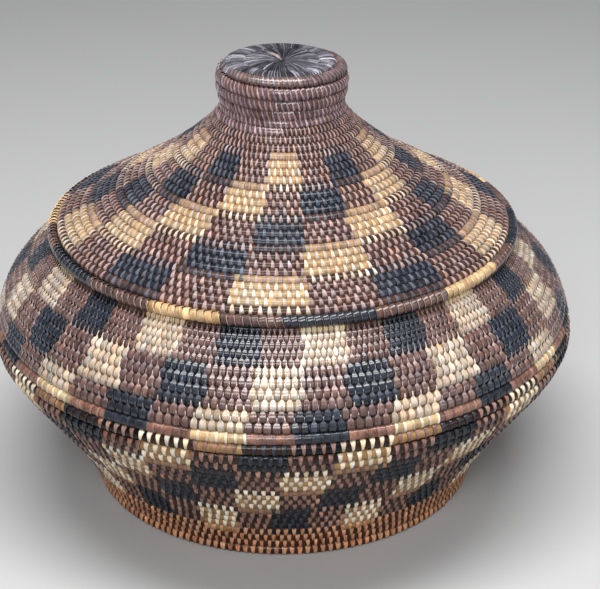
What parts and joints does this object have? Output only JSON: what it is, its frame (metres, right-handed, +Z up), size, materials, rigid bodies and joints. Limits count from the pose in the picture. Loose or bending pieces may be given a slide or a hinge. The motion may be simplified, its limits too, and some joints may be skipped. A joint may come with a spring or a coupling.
{
  "type": "coiled lidded basket",
  "caption": "Round coiled basket with a wide belly, a small foot and a lift-off domed lid with a hollow knob.",
  "frame": {"origin": "centre of the foot's underside, on the surface that the basket stands on", "axes": "+Z up through the middle of the lid's knob; the side that the picture shows faces -Y"},
  "size_m": [0.2991, 0.299, 0.2246],
  "materials": {
    "light_splint": "straw-coloured palm splint, slightly glossy",
    "brown_splint": "dyed dark brown splint, slightly glossy",
    "black_splint": "dyed blue-black splint, slightly glossy",
    "copper_splint": "copper-brown splint, slightly glossy",
    "tan_splint": "golden tan splint, slightly glossy"
  },
  "bodies": {
    "basket": {"base_coil": "brown_splint", "lower_wall_coil": "black_splint", "upper_wall_coil": "brown_splint", "mouth_rim": "brown_splint", "foot_rim": "copper_splint"},
    "lid": {"knob_top_coil": "black_splint", "knob_coil": "brown_splint", "neck_coil": "brown_splint", "dome_coil": "light_splint", "lid_rim": "tan_splint", "lid_flange": "tan_splint"}
  },
  "joints": [
    {"name": "lid_lift", "type": "slide", "parent": "basket", "child": "lid", "axis": [0, 0, 1], "range_m": [0, 0.12]}
  ]
}
